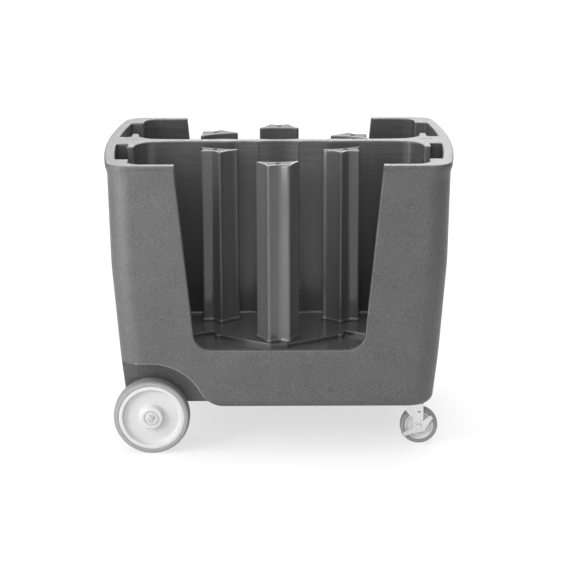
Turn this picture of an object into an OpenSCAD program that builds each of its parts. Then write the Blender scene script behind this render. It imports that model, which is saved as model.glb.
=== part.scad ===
// Plate cart: a one-piece moulded body with two dish bays, six loose towers that
// stand in floor sockets, two large fixed wheels on an axle and two braked swivel casters.
// The origin is on the floor under the middle of the body, +X runs along the length
// towards the casters and -Y is the front long side.

/* [Body] */
// Length of the body at the rim, over the bowed ends
body_l = 970; // [900:2:1040]
// Width of the body at the rim
body_w = 730; // [690:2:780]
// Height of the rim above the floor
body_h = 816; // [790:1:860]
// Height of the underside above the floor
base_z = 133; // [130:1:142]
// Height of the bay floor above the floor
floor_z = 311; // [290:1:330]
// Radius of the bowed end walls in plan
bow_r = 2200; // [1700:50:3000]
// Radius of the four upright corners
corner_r = 64; // [50:1:75]
// Radius of the rounded bottom edge
foot_r = 24; // [15:1:30]
// Height above the floor where the end walls start to draw in
crease_z = 525; // [500:1:560]
// Draft of the long side walls in degrees
side_draft = 1.7; // [1:0.1:2]
// Draft of the end walls below the crease in degrees
end_draft = 4.1; // [3:0.1:5]
// How far the rim stands out past the end walls
lip_d = 6; // [3:0.5:8]
// Height of the band round the rim
band_h = 12; // [8:1:18]
// How far the band is set back along the long sides
band_d = 2.5; // [1.5:0.5:4]
// Radius of the rounded edges of the moulding
edge_r = 4; // [2:0.5:4.5]

/* [Bays] */
// Thickness of a long wall at the rim
side_wall_t = 28; // [23:1:36]
// Distance from the end of the body to the end of a bay
end_wall_t = 81; // [72:1:92]
// Draft of the bay walls in degrees
bay_draft = 0.7; // [0.4:0.1:1]
// Radius of the bay corners beside the long wall
bay_corner_r = 40; // [25:1:50]
// Radius where the bay walls meet the floor
bay_floor_r = 7; // [5:1:10]

/* [Divider wall] */
// Thickness of the divider at its middle
wall_mid_t = 18; // [14:1:24]
// Thickness of the divider at its ridges
wall_ridge_t = 40; // [34:1:46]
// Distance from the middle to the inner ridges
ridge_in = 58; // [50:1:66]
// Distance from the middle to the outer ridges
ridge_out = 145; // [130:1:160]
// Radius where the divider flares into an end post
flare_r = 64; // [50:1:70]

/* [End posts and pockets] */
// Length of a post's crossbar
post_w = 200; // [180:2:220]
// Thickness of a post's crossbar
post_t = 20; // [18:1:26]
// Width of a post's stem
stem_w = 104; // [90:2:120]
// Distance from the middle plane to the lip at the far end of a pocket
lip_u = 268; // [255:1:275]
// Thickness of the wall outside a pocket
grip_t = 28; // [24:1:32]
// Height above the floor of a pocket's bottom
pocket_z = 560; // [552:1:620]

/* [Side openings] */
// Width of the U opening at the rim
open_w = 556; // [520:2:580]
// Slant of the opening's sides in degrees
open_slant = 5.4; // [4:0.1:7]
// Height of the opening's sill above the floor
sill_z = 300; // [285:1:305]
// Radius of the opening's lower corners
open_r = 50; // [35:1:60]

/* [Towers] */
// Height of a tower above the bay floor
tower_h = 494; // [440:1:500]
// Distance between the wide pair of lobes
lobe_wide = 116; // [110:1:122]
// Distance between the narrow pair of lobes
lobe_narrow = 64; // [58:1:70]
// Depth of a tower over its lobes
tower_d = 64; // [60:1:68]
// Radius of a lobe
lobe_r = 6; // [5:0.5:8]
// Radius of the locating peg under a tower
peg_r = 12; // [10:0.5:14]
// Radius of the hole in a tower's top
lift_hole_r = 8; // [6:0.5:10]
// Distance from a long wall's inner face to the middle of its centre tower
tower_wall = 61; // [57:1:65]
// Distance along the cart from the middle to the front left tower
tower_x = 178; // [174:1:186]
// Distance from the middle plane to the front left tower
tower_u = 82; // [81:1:88]
// Turn of the side towers in degrees
tower_turn = 24; // [10:1:26]

/* [Rear wheels] */
// Radius of a rear tyre
wheel_r = 105; // [100:0.5:108]
// Width of a rear tyre
wheel_w = 48; // [42:1:50]
// Distance from the long side of the rim to the middle of a rear tyre
wheel_in = 46; // [45:1:49]
// Distance from the end of the body to the axle
axle_in = 132; // [126:1:140]
// Radius of the axle
axle_r = 8; // [7:0.5:9]
// Radius of the wheel arch
arch_r = 153; // [140:1:156]
// Depth of the wheel arch, from the long side of the rim to its back wall
arch_in = 82; // [79:1:85]

/* [Casters] */
// Radius of a caster wheel
caster_r = 52.5; // [50:0.5:54]
// Width of a caster wheel
caster_w = 30; // [26:1:32]
// Distance from the end of the body to the swivel axis
swivel_in = 132; // [126:1:140]
// Distance from the long side of the rim to the swivel axis
swivel_side = 113; // [100:1:120]
// Distance from the swivel axis to the caster's axle
trail = 37; // [32:1:38]
// Thickness of the pressed fork
fork_t = 3.5; // [3:0.5:4.5]

/* [Hidden] */
$fn = 96;

half_l = body_l / 2;
half_w = body_w / 2;
bow_cx = half_l - bow_r;
bay_u = half_w - side_wall_t;
bay_x = half_l - end_wall_t;
axle_x = half_l - axle_in;
wheel_y = half_w - wheel_in;
arch_y = half_w - arch_in;
swivel_x = half_l - swivel_in;
swivel_y = half_w - swivel_side;
end_draft_top = 0.85;
end_draft_foot = 2.3;
foot_z = base_z + 133;
fit_gap = 0.05;
body_gap = 0.3;
charcoal = [0.36, 0.36, 0.37];
zinc = [0.78, 0.79, 0.81];
tyre_grey = [0.6, 0.6, 0.61];

// Points on an arc about c, from angle a0 to a1 in n steps
function arc_pts(c, r, a0, a1, n) =
    [for (i = [0:n]) let (a = a0 + (a1 - a0) * i / n) c + r * [cos(a), sin(a)]];

function reversed(list) = [for (i = [len(list) - 1:-1:0]) list[i]];

// Lifts a flat outline to height z
function at_z(outline, z) = [for (p = outline) [p[0], p[1], z]];

// Middle of the points in a ring
function middle(ring) = [for (p = ring) 1] * ring / len(ring);

// A closed solid through rings of equal length, each counter-clockwise seen from the last ring.
// Every point of an end ring can be seen from its hub point, from which the end is fanned.
module skin(rings, hubs = []) {
    n = len(rings[0]);
    m = len(rings);
    first = len(hubs) > 0 ? hubs[0] : middle(rings[0]);
    last = len(hubs) > 0 ? hubs[1] : middle(rings[m - 1]);
    sides = [for (k = [0:m - 2], i = [0:n - 1])
        let (j = (i + 1) % n, a = k * n + i, b = k * n + j, c = b + n, d = a + n)
        each [[a, d, c], [a, c, b]]];
    ends = [for (i = [0:n - 1]) let (j = (i + 1) % n, k = (m - 1) * n)
        each [[m * n, i, j], [m * n + 1, k + j, k + i]]];
    polyhedron(points = concat([for (r = rings) each r], [first, last]), faces = concat(sides, ends));
}

// How far the end walls and the long walls have drawn in at height z
function end_inset(z) = lip_d + (body_h - max(z, crease_z)) * tan(end_draft_top)
    + max(crease_z - z, 0) * tan(end_draft) + max(foot_z - z, 0) * tan(end_draft_foot);
function foot_inset(z) = z > base_z + foot_r
    ? 0
    : foot_r - sqrt(max(pow(foot_r, 2) - pow(foot_r - (z - base_z), 2), 0));
function side_inset(z) = (body_h - z) * tan(side_draft);
function side_y(z) = half_w - side_inset(z) - foot_inset(max(z, base_z));

// Outline of the body in plan: bowed ends of radius bow_r that run tangent into the corners
function body_outline(dx, dy, dr) =
    let (
        r = corner_r - dr,
        big = bow_r - dx,
        hw = half_w - dy,
        turn = asin((hw - r) / (big - r)),
        cx = bow_cx + (big - r) * cos(turn),
        quarter = concat(
            arc_pts([bow_cx, 0], big, 0, turn, 4),
            [for (i = [1:8]) [cx, hw - r] + r * [cos(turn + (90 - turn) * i / 8), sin(turn + (90 - turn) * i / 8)]]
        ),
        left = [for (p = reversed(quarter)) [-p[0], p[1]]],
        upper = concat(quarter, [for (i = [0:len(left) - 1]) left[i]]),
        lower = [for (i = [1:len(upper) - 2]) [-upper[i][0], -upper[i][1]]]
    )
    concat(upper, lower);

module body_outer() {
    foot = [for (a = [0:18:90]) let (z = base_z + foot_r * (1 - cos(a)), d = foot_r * (1 - sin(a)))
        at_z(body_outline(end_inset(z) + d, side_inset(z) + d, d * 0.6), z)];
    walls = [for (z = [foot_z, crease_z - 45, crease_z, crease_z + 60, body_h - band_h - 30])
        at_z(body_outline(end_inset(z), side_inset(z), 0), z)];
    shoulder_z = body_h - band_h - band_d;
    shoulder = at_z(body_outline(lip_d * 0.35, side_inset(shoulder_z), 0), shoulder_z);
    band = at_z(body_outline(0, band_d, band_d), body_h - band_h);
    rim = [for (a = [0:30:90]) let (z = body_h - edge_r * (1 - sin(a)), d = edge_r * (1 - cos(a)))
        at_z(body_outline(d, band_d + d, band_d + d), z)];
    skin(concat(foot, walls, [shoulder, band], rim));
}

// Lower boundary of a round hollow of radius r, mid t from the middle plane at x = xc,
// drawn in by e
function hollow_u(x, xc, t, r, e) = t + r - sqrt(max(pow(r - e, 2) - pow(x - xc, 2), 1));

// Radius of a hollow from its half chord and its depth
function hollow_r(chord, depth) = (pow(chord, 2) + pow(depth, 2)) / (2 * depth);

// The smaller of two values, blended over k so that a ridge is rounded
function soft_min(a, b, k) = let (h = max(k - abs(a - b), 0) / k) min(a, b) - h * h * k / 4;

ridge_t = wall_ridge_t / 2;
mid_t = wall_mid_t / 2;
short_t = 14;
long_t = 15;
ridge_blend = 4;
short_x = (ridge_in + ridge_out) / 2;
flare_x = bay_x - flare_r;
long_x = (ridge_out + flare_x) / 2;
mid_r = hollow_r(ridge_in, ridge_t - mid_t);
short_r = hollow_r((ridge_out - ridge_in) / 2, ridge_t - short_t);
long_r = hollow_r(long_x - ridge_out, ridge_t - long_t);
long_u = long_t + long_r;
flare_u = long_u - sqrt(pow(long_r - flare_r, 2) - pow(flare_x - long_x, 2));
flare_a = atan2(flare_x - long_x, long_u - flare_u);

// Distance of the divider's face from the middle plane
function divider_u(x, e) = soft_min(
    soft_min(hollow_u(x, 0, mid_t, mid_r, e), hollow_u(x, short_x, short_t, short_r, e), ridge_blend),
    hollow_u(x, long_x, long_t, long_r, e), ridge_blend);

post_u = post_w / 2;
stem_u = stem_w / 2;
post_r = 5;
slot_r = 8;
grip_r = bow_r - grip_t;
function grip_x(u) = bow_cx + sqrt(pow(grip_r, 2) - pow(u, 2));

// The pocket round the end post, from the crossbar's corner to the lip, drawn in by e
function pocket_pts(e) =
    let (
        back = bay_x + post_t,
        near = stem_u + slot_r,
        far = lip_u - slot_r
    )
    concat(
        arc_pts([bay_x + post_r, post_u - post_r], post_r + e, 180, 90, 3),
        arc_pts([back - post_r, post_u - post_r], post_r + e, 90, 0, 3),
        arc_pts([back + slot_r, near], slot_r - e, 180, 270, 2),
        arc_pts([grip_x(near) - slot_r, near], slot_r - e, 270, 360, 2),
        [for (k = [1:2]) let (u = near + (far - near) * k / 3) [grip_x(u) - e, u]],
        arc_pts([grip_x(far) - slot_r, far], slot_r - e, 0, 90, 2),
        arc_pts([bay_x + post_r, lip_u + post_r], post_r + e, 270, 180, 3)
    );

// Below a pocket its points lie on the bay's end face instead
function folded_pts(e) =
    let (n = len(pocket_pts(0)), lip = lip_u + post_r, step = (lip - flare_u) / n)
    [for (i = [1:n]) [bay_x - e, flare_u + step * i]];

// Outline of a bay seen from above, as distance along the cart and from the middle plane
function bay_outline(e, open) =
    let (
        ridge_step = 6,
        xs = concat(
            [for (k = [0:4]) (ridge_in - ridge_step) * k / 4],
            [ridge_in],
            [for (k = [0:4]) ridge_in + ridge_step + (ridge_out - ridge_in - 2 * ridge_step) * k / 4],
            [ridge_out, ridge_out + ridge_step]
        ),
        long_a = asin((ridge_out + 2 * ridge_step - long_x) / long_r),
        half = concat(
            [for (x = xs) [x, divider_u(x, e)]],
            arc_pts([long_x, long_u], long_r - e, long_a - 90, flare_a - 90, 4),
            [for (i = [1:6]) let (a = (flare_a - 90) * (1 - i / 6)) [flare_x, flare_u] + (flare_r - e) * [cos(a), sin(a)]],
            open ? pocket_pts(e) : folded_pts(e),
            arc_pts([bay_x - bay_corner_r, bay_u - bay_corner_r], bay_corner_r - e, 0, 90, 5)
        ),
        other = [for (i = [len(half) - 1:-1:1]) [-half[i][0], half[i][1]]]
    )
    concat(half, other);

// The hollow of one bay with rounded rim edges, pockets and a rounded floor edge
module bay_cut() {
    function draft(z) = (body_h - z) * tan(bay_draft);
    fold_drop = 25;
    floor_rings = [for (a = [0:30:90])
        let (z = floor_z + bay_floor_r * (1 - sin(90 - a)), d = bay_floor_r * (1 - cos(90 - a)))
        at_z(bay_outline(draft(z) + d, false), z)];
    fold = at_z(bay_outline(draft(pocket_z - fold_drop), false), pocket_z - fold_drop);
    pocket_floor = at_z(bay_outline(draft(pocket_z), true), pocket_z);
    rim = [for (a = [90:-45:0])
        let (z = body_h - edge_r * (1 - cos(a)), d = edge_r * (1 - sin(a)))
        at_z(bay_outline(draft(z) - d, true), z)];
    above = at_z(bay_outline(-edge_r, true), body_h + 2);
    closed = at_z(bay_outline(-edge_r, false), body_h + 2 + fold_drop);
    eye = [0, bay_u / 2];
    skin(concat(floor_rings, [fold, pocket_floor], rim, [above, closed]),
        [[eye[0], eye[1], floor_z], [eye[0], eye[1], body_h + 2 + fold_drop]]);
}

// Outline of the U opening in a long side, grown by o, as distance along the cart and height
function open_outline(o, top) =
    let (
        half_top = open_w / 2,
        cz = sill_z + open_r,
        cx = half_top - (body_h - cz) * tan(open_slant) - open_r / cos(open_slant),
        right = concat(
            arc_pts([cx, cz], open_r + o, -90, -open_slant, 6),
            [[half_top + (top - body_h) * tan(open_slant) + o / cos(open_slant), top]]
        ),
        left = [for (p = reversed(right)) [-p[0], p[1]]]
    )
    concat(right, left);

// Cuts a U opening through one long wall, its outer and inner edges rounded
module open_cut() {
    top = body_h + 10;
    function fade(z) = min(max((z - sill_z - 20) / 40, 0), 1);
    function wall_in(z) = bay_u - (body_h - min(z, body_h)) * tan(bay_draft);
    steps = [0, 45, 90];
    outside = [for (p = open_outline(edge_r, top)) [p[0], side_y(min(p[1], body_h)) + 4, p[1]]];
    outer = [for (a = steps)
        [for (p = open_outline(edge_r * (1 - sin(a)), top))
            [p[0], side_y(min(p[1], body_h)) - edge_r * (1 - cos(a)), p[1]]]];
    inner = [for (a = reversed(steps))
        [for (p = open_outline(0, top), q = [edge_r * (1 - sin(a)) * fade(p[1])])
            [p[0] + sign(p[0]) * q, wall_in(p[1]) + edge_r * (1 - cos(a)), p[1]]]];
    inside = [for (p = inner[len(inner) - 1]) [p[0], wall_in(p[1]) - 8, p[1]]];
    skin(concat([outside], outer, inner, [inside]));
}

// The two low drip areas beside the raised bay floor, in front of the towers
module drip_cut() {
    notch_x = 182;
    back_u = bay_u - 12;
    low = sill_z;
    side = [
        [26, bay_u - 19], [164, 236], [174, 237], [179, 232],
        [notch_x, 195], [241, 228], [bay_x - 28, 302]
    ];
    rise = floor_z - low;
    intersection() {
        union() {
            for (s = [-1, 1])
                translate([0, 0, low])
                    linear_extrude(rise + 1)
                        polygon([for (p = concat(side, [[bay_x - 40, bay_u + 3], [26, bay_u + 3]])) [s * p[0], p[1]]]);
        }
        translate([-bay_x, 0, low - 1])
            cube([2 * bay_x, back_u, rise + 3]);
    }
}

arch_top = arch_r + wheel_r + 3;
arch_cz = wheel_r + 3;
arch_foot_r = 90;

// Outline of a wheel arch in side view, grown by o: a round arch that runs level to the
// cart's end on one side and curves out into the underside on the other
function arch_outline(o) =
    let (
        rise = base_z + arch_foot_r - arch_cz,
        reach = sqrt(pow(arch_r + arch_foot_r, 2) - pow(rise, 2)),
        tangent = atan2(rise, reach),
        cx = -axle_x + reach,
        low = base_z - 20,
        far = -half_l - 30,
        foot = [for (i = [1:5]) let (a = 180 + tangent + (90 - tangent) * i / 5)
            [cx, base_z + arch_foot_r] + (arch_foot_r - o) * [cos(a), sin(a)]]
    )
    concat(
        [[cx, low]],
        reversed(foot),
        arc_pts([-axle_x, arch_cz], arch_r + o, tangent, 90, 6),
        [[far, arch_cz + arch_r + o], [far, low]]
    );

module arch_cut() {
    inner_r = 10;
    function fade(z) = min(max((z - base_z) / 40, 0), 1);
    outside = [for (p = arch_outline(0)) [p[0], side_y(p[1]) + 40, p[1]]];
    steps = [0, 45, 90];
    outer = [for (a = steps)
        [for (i = [0:len(outside) - 1])
            let (plain = arch_outline(0)[i], grown = arch_outline(edge_r * (1 - sin(a)))[i],
                p = plain + (grown - plain) * fade(plain[1]))
            [p[0], side_y(p[1]) - edge_r * (1 - cos(a)), p[1]]]];
    back = [for (a = [0, 45, 90])
        [for (p = arch_outline(-inner_r * (1 - cos(a)))) [p[0], arch_y + inner_r * (1 - sin(a)), p[1]]]];
    wide = [for (i = [0:len(outside) - 1]) [outer[0][i][0], outside[i][1], outer[0][i][2]]];
    hub = [-axle_x, 0, base_z - 15];
    skin(concat([wide], outer, back), [hub + [0, half_w + 40, 0], hub + [0, arch_y, 0]]);
}

plate_l = 86;
plate_w = 60;
plate_t = 4;
plate_hole_x = 64;
plate_hole_y = 40;
plate_bolt_r = 4;
bracket_l = 62;
bracket_w = 46;
bracket_t = 5;
bracket_y = wheel_y - 57;
bracket_hole_x = 40;
bracket_bolt_r = 4;
insert_depth = 32;
dimple_r = 19;
dimple_d = 1.2;
dimple_out = 4;
socket_depth = 20;

module caster_hole_pos() {
    for (dx = [-1, 1], dy = [-1, 1])
        translate([swivel_x + dx * plate_hole_x / 2, swivel_y + dy * plate_hole_y / 2, 0])
            children();
}

module bracket_hole_pos() {
    for (dx = [-1, 1])
        translate([-axle_x + dx * bracket_hole_x / 2, bracket_y - bracket_w / 2, 0])
            children();
}

// Towers: place along the cart, distance from the middle plane, turn. The side towers of
// the two bays are set for different plates, so they stand in different sockets.
tower_mid_u = bay_u - tower_wall;
tower_steps = [8, 7, 36];
tower_steps_u = [4, 96, 46];
tower_places = [
    [-tower_x, -tower_u, -tower_turn],
    [-2, -tower_mid_u, 3],
    [tower_x + tower_steps[0], -tower_u - tower_steps_u[0], tower_turn],
    [-tower_x - tower_steps[1], tower_u + tower_steps_u[1], 180 + tower_turn],
    [0, tower_mid_u, 180],
    [tower_x + tower_steps[2], tower_u + tower_steps_u[2], 180 - tower_turn]
];

module body_shell() {
    color(charcoal)
    difference() {
        body_outer();
        for (s = [0, 1])
            mirror([0, s, 0]) {
                bay_cut();
                drip_cut();
                open_cut();
                arch_cut();
                caster_hole_pos()
                    translate([0, 0, base_z - 1])
                        cylinder(r = plate_bolt_r + fit_gap, h = insert_depth + 1);
                bracket_hole_pos()
                    translate([0, 0, base_z - 1])
                        cylinder(r = bracket_bolt_r + fit_gap, h = insert_depth + 1);
            }
        for (x = [-1, 1])
            translate([x * (bay_x + post_t / 2 + dimple_out), 0, body_h - dimple_d])
                cylinder(r = dimple_r, h = dimple_d + 1);
        for (t = tower_places)
            translate([t[0], t[1], floor_z - socket_depth])
                cylinder(r = peg_r + fit_gap, h = socket_depth + 1);
    }
}

// Star section of a tower: four round lobes joined by three hollow sides and a groove, grown by o
function star_outline(o) =
    let (
        wide_y = tower_d / 2 - lobe_r,
        narrow_y = -tower_d / 2 + lobe_r,
        wide_x = lobe_wide / 2 - lobe_r,
        narrow_x = lobe_narrow / 2 - lobe_r,
        lobes = [
            [narrow_x, narrow_y, -122, -13], [wide_x, wide_y, -40, 109],
            [-wide_x, wide_y, 71, 220], [-narrow_x, narrow_y, 193, 302]
        ],
        dips = [[3.5, 2], [9, 2], [3.5, 2], [11.5, 1.3]]
    )
    [for (k = [0:3])
        let (
            a = lobes[k],
            b = lobes[(k + 1) % 4],
            lobe = arc_pts([a[0], a[1]], lobe_r + o, a[2], a[3], 4),
            start = lobe[4],
            end = [b[0], b[1]] + (lobe_r + o) * [cos(b[2]), sin(b[2])],
            chord = norm(end - start),
            out = [(end - start)[1], -(end - start)[0]] / chord,
            dip = dips[k]
        )
        each concat(lobe, [for (i = [1:5]) let (t = i / 6)
            start + (end - start) * t - out * dip[0] * (1 - pow(abs(2 * t - 1), dip[1]))])];

module tower(k) {
    place = tower_places[k];
    top_r = 5;
    skirt_h = 8;
    skirt_d = 3;
    base = body_gap;
    color([0.33, 0.33, 0.34])
    translate([place[0], place[1], floor_z])
    rotate([0, 0, place[2]])
    difference() {
        union() {
            skin(concat(
                [for (s = [[base, skirt_d - 1], [base + 1.5, skirt_d], [skirt_h - 2, skirt_d], [skirt_h, 1]])
                    at_z(star_outline(s[1]), s[0])],
                [at_z(star_outline(0), skirt_h + 2)],
                [for (a = [0, 45, 90]) at_z(star_outline(-top_r * (1 - cos(a))), tower_h - top_r * (1 - sin(a)))]
            ));
            translate([0, 0, -socket_depth + 2])
                cylinder(r = peg_r, h = socket_depth + 6);
        }
        translate([0, 0, tower_h - 30])
            cylinder(r = lift_hole_r, h = 31);
    }
}

hub_tyre_r = 89;
hub_bush_r = 12;
hub_face = 9;
boss_face = 28;
boss_recess = 3;
hub_back = 26;
nut_af = 19;
nut_h = 10;
washer_t = 2.5;
stud_r = 6;
stud_end = 41;
shoulder = boss_face - boss_recess + body_gap;

// Turns a shape that is drawn about +Z so that +Z points out of the cart's side
module on_axle(s) {
    translate([-axle_x, s * wheel_y, wheel_r])
        rotate([s > 0 ? -90 : 90, 0, 0])
            children();
}

module rear_axle() {
    reach = wheel_y + shoulder;
    end = wheel_y + stud_end;
    color(zinc)
    translate([-axle_x, 0, wheel_r])
    rotate([90, 0, 0])
    rotate_extrude()
        polygon([
            [0, -end], [stud_r - 1, -end], [stud_r, -end + 1], [stud_r, -reach], [axle_r, -reach],
            [axle_r, reach], [stud_r, reach], [stud_r, end - 1], [stud_r - 1, end], [0, end]
        ]);
}

// Angle bracket: a flange under the base and a web with a rounded lower end for the axle
module axle_bracket(s) {
    web_r = 20;
    drop = base_z - wheel_r;
    color(zinc)
    translate([-axle_x, s * bracket_y, 0])
    mirror([0, s > 0 ? 0 : 1, 0])
    difference() {
        union() {
            translate([-bracket_l / 2, -bracket_w, base_z - bracket_t])
                cube([bracket_l, bracket_w + bracket_t, bracket_t]);
            translate([-bracket_l / 2, 0, wheel_r])
                cube([bracket_l, bracket_t, drop]);
            translate([0, bracket_t, wheel_r])
                rotate([90, 0, 0])
                    cylinder(r = web_r, h = bracket_t);
        }
        for (dx = [-1, 1])
            translate([dx * bracket_l / 2, -1, wheel_r - 1])
                rotate([0, dx * 25, 0])
                    translate([dx > 0 ? 0 : -30, 0, -40])
                        cube([30, bracket_t + 2, 60]);
        translate([0, bracket_t + 1, wheel_r])
            rotate([90, 0, 0])
                cylinder(r = axle_r + fit_gap, h = bracket_t + 2);
        for (dx = [-1, 1])
            translate([dx * bracket_hole_x / 2, -bracket_w / 2, base_z - bracket_t - 1])
                cylinder(r = bracket_bolt_r + fit_gap, h = bracket_t + 2);
    }
}

// Hexagon-head bolt that points up, its head seated at z = 0
module base_bolt(r, length, af, head) {
    rotate([0, 0, 30])
        translate([0, 0, -head])
            cylinder(r = af / 2 / cos(30), h = head, $fn = 6);
    translate([0, 0, -0.01])
        cylinder(r = r, h = length);
}

module bracket_bolts() {
    color(zinc)
    for (s = [0, 1])
        mirror([0, s, 0])
            bracket_hole_pos()
                translate([0, 0, base_z - bracket_t])
                    base_bolt(bracket_bolt_r, bracket_t + insert_depth - 4, 13, 5.3);
}

module axle_spacer(s) {
    length = wheel_y - hub_back - bracket_y - bracket_t - body_gap;
    color(zinc)
    on_axle(s)
        translate([0, 0, -hub_back - body_gap - length])
            difference() {
                cylinder(r = hub_bush_r + 1, h = length);
                translate([0, 0, -1])
                    cylinder(r = axle_r + fit_gap, h = length + 2);
            }
}

module axle_washers() {
    color(zinc)
    for (s = [-1, 1])
        on_axle(s)
            translate([0, 0, shoulder])
                difference() {
                    cylinder(r = 17, h = washer_t);
                    translate([0, 0, -1])
                        cylinder(r = stud_r + fit_gap, h = washer_t + 2);
                }
}

// Hexagon nut with chamfered corners
module hex_nut(af, h, bore) {
    across = af / 2 / cos(30);
    difference() {
        intersection() {
            cylinder(r = across, h = h, $fn = 6);
            rotate_extrude()
                polygon([[0, 0], [across - 1.2, 0], [across + 0.2, 1.4], [across + 0.2, h - 1.4], [across - 1.2, h], [0, h]]);
        }
        translate([0, 0, -1])
            cylinder(r = bore, h = h + 2);
    }
}

module axle_nuts() {
    color(zinc)
    for (s = [-1, 1])
        on_axle(s)
            translate([0, 0, shoulder + washer_t])
                hex_nut(nut_af, nut_h, stud_r);
}

// Moulded wheel centre: rim band, dished disc, stepped boss and ribs on the inner side
module wheel_hub(s) {
    half = wheel_w / 2;
    band = 80;
    dish = -half + 11;
    color([0.92, 0.92, 0.91])
    on_axle(s)
    difference() {
        union() {
            rotate_extrude()
                polygon([
                    [0, -hub_back], [20, -hub_back], [24, -hub_back + 2], [26, dish], [76, dish], [78, -half + 5],
                    [80, -half + 3], [hub_tyre_r, -half + 3], [hub_tyre_r, half - 3], [hub_tyre_r + 1.5, half - 3],
                    [hub_tyre_r + 1.5, half - 1.5], [hub_tyre_r, half - 0.5], [band + 1.5, half - 0.5],
                    [band, half - 2], [band - 1, hub_face + 6], [band - 3, hub_face + 2], [band - 7, hub_face],
                    [38, hub_face], [36, hub_face + 0.7], [34.5, hub_face + 3], [30.5, boss_face - 2],
                    [29, boss_face - 0.5], [27.5, boss_face], [21, boss_face], [19.5, boss_face - boss_recess],
                    [0, boss_face - boss_recess]
                ]);
            for (a = [0:45:315])
                rotate([0, 0, a])
                    translate([22, -2, -half + 6])
                        cube([56, 4, half / 2]);
        }
        translate([0, 0, -hub_back - 1])
            cylinder(r = hub_bush_r, h = hub_back + boss_face + 2);
    }
}

module wheel_bush(s) {
    length = hub_back + boss_face - boss_recess;
    color([0.25, 0.25, 0.27])
    on_axle(s)
        translate([0, 0, -hub_back])
            difference() {
                cylinder(r = hub_bush_r, h = length);
                translate([0, 0, -1])
                    cylinder(r = axle_r + fit_gap, h = length + 2);
            }
}

module tyre(s) {
    half = wheel_w / 2;
    seat = hub_tyre_r;
    color(tyre_grey)
    on_axle(s)
        rotate_extrude($fn = 128)
            polygon([
                [seat, -half + 3], [seat + 2, -half + 1], [wheel_r - 8, -half], [wheel_r - 3, -half + 3],
                [wheel_r - 1, -half + 7], [wheel_r, -half + 12], [wheel_r, half - 12], [wheel_r - 1, half - 7],
                [wheel_r - 2.5, half - 3], [wheel_r - 4, half - 1.6], [wheel_r - 4.5, half - 2.1], [wheel_r - 6, half - 0.4],
                [seat + 4, half], [seat + 1.5, half - 1.5], [seat + 1.5, half - 3], [seat, half - 3]
            ]);
}

race_z = base_z - plate_t;
race_h = 7;
crown_z = race_z - race_h - 6;
king_r = 6;
leg_in = caster_w / 2 + 3;
caster_axle_r = 5;
core_r = 40;
sleeve_r = 8;
lever_gap = body_gap;

module at_swivel(s) {
    mirror([0, s > 0 ? 0 : 1, 0])
        translate([swivel_x, swivel_y, 0])
            children();
}

// Turns a shape drawn about +Z so that +Z points out of the cart's side at the caster's axle
module on_caster_axle(s) {
    at_swivel(s)
        translate([trail, 0, caster_r])
            rotate([-90, 0, 0])
                children();
}

module caster_plate(s) {
    round_r = 6;
    color(zinc)
    at_swivel(s)
    difference() {
        union() {
            translate([0, 0, race_z])
                linear_extrude(plate_t)
                    difference() {
                        square([plate_l, plate_w], center = true);
                        for (dx = [-1, 1], dy = [-1, 1])
                            translate([dx * (plate_l / 2 - round_r), dy * (plate_w / 2 - round_r)])
                                difference() {
                                    translate([dx > 0 ? 0 : -round_r - 1, dy > 0 ? 0 : -round_r - 1])
                                        square(round_r + 1);
                                    circle(r = round_r, $fn = 48);
                                }
                    }
            translate([0, 0, race_z - race_h + 1])
                rotate_extrude()
                    polygon([[0, 0], [20, 0], [23, 1.5], [25.5, race_h - 1], [0, race_h - 1]]);
        }
        translate([0, 0, race_z - race_h])
            cylinder(r = king_r, h = race_h + plate_t + 1);
        for (dx = [-1, 1], dy = [-1, 1])
            translate([dx * plate_hole_x / 2, dy * plate_hole_y / 2, race_z - 1])
                cylinder(r = plate_bolt_r + fit_gap, h = plate_t + 2);
    }
}

module plate_bolts(s) {
    color(zinc)
    at_swivel(s)
        for (dx = [-1, 1], dy = [-1, 1])
            translate([dx * plate_hole_x / 2, dy * plate_hole_y / 2, race_z])
                base_bolt(plate_bolt_r, plate_t + insert_depth - 4, 13, 5.3);
}

// Pressed ring that closes the ball race, fixed round the fork's crown
module swivel_race(s) {
    color(zinc)
    at_swivel(s)
        translate([0, 0, crown_z + fork_t])
            rotate_extrude()
                polygon([
                    [26.5, 0], [30, 0], [30, 6], [28.5, 7.5], [26.5, 7.5]
                ]);
}

module kingpin(s) {
    color(zinc)
    at_swivel(s)
        translate([0, 0, crown_z - 3 - body_gap])
            rotate_extrude()
                polygon([
                    [0, 0], [9, 0], [11, 1.5], [11, 3], [king_r, 3],
                    [king_r, base_z - crown_z + 3 + body_gap - 0.2], [0, base_z - crown_z + 3 + body_gap - 0.2]
                ]);
}

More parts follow.
